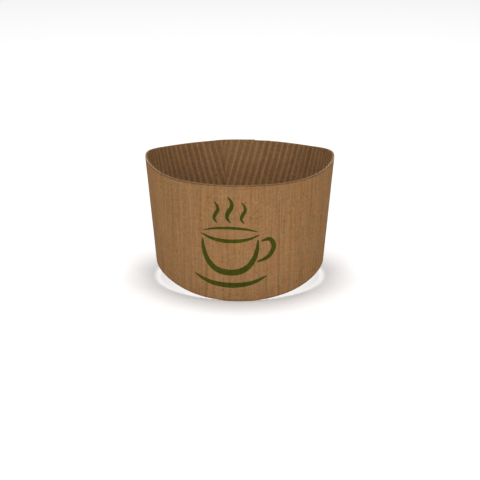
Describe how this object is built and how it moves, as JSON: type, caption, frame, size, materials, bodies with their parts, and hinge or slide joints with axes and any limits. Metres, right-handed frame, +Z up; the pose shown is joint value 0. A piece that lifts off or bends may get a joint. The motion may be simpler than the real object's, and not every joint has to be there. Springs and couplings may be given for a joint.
{
  "type": "coffee cup sleeve",
  "caption": "Tapered kraft board sleeve for a takeaway hot cup, fluted inside, with curved top and bottom edges and a glued lap seam at the back.",
  "frame": {"origin": "on the cone's axis, at the level of the lowest points of the bottom edge", "axes": "+Z up towards the wide end, -Y the printed front, +Y the glued seam at the back"},
  "size_m": [0.0808, 0.0806, 0.054],
  "materials": {
    "kraft_board": "matte unbleached kraft with faint lines along the flutes"
  },
  "bodies": {
    "root": {"sleeve": "kraft_board"}
  },
  "joints": []
}
